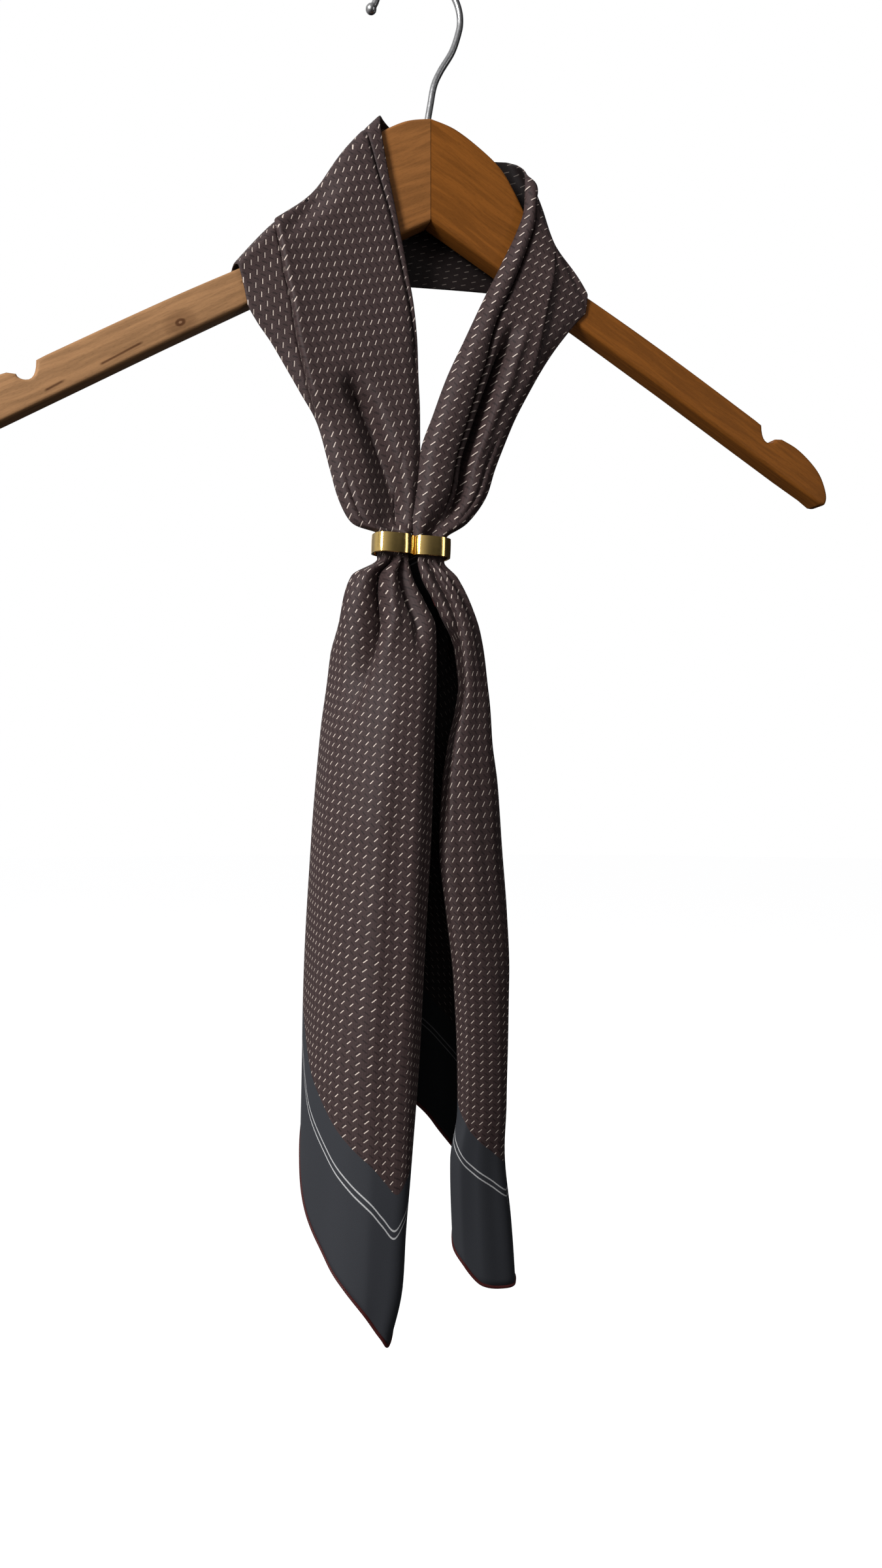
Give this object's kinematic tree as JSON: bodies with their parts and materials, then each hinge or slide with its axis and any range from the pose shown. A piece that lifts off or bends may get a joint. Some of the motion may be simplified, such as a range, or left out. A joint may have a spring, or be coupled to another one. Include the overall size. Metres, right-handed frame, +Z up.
{
  "type": "silk square scarf on a wooden clothes hanger",
  "caption": "Square silk scarf laid round the neck of a wooden clothes hanger, both ends hanging in front through a two-lobed metal scarf ring.",
  "frame": {"origin": "inside top of the hook, where a rail carries the hanger", "axes": "+X along the hanger to the right seen from the front, -Y towards the front, +Z up"},
  "size_m": [0.4342, 0.0467, 0.6407],
  "materials": {
    "wood_left": "satin varnish",
    "wood_right": "satin varnish",
    "hook_steel": "drawn steel wire",
    "ring_gold": "polished gold-coloured metal",
    "silk": "printed silk twill, soft sheen"
  },
  "bodies": {
    "root": {"hanger_left": "wood_left", "hanger_right": "wood_right", "hanger_hook": "hook_steel", "scarf_ring": "ring_gold", "front_left": "silk", "neck_back": "silk", "front_right": "silk", "tail_left": "silk", "tail_right": "silk"}
  },
  "joints": []
}
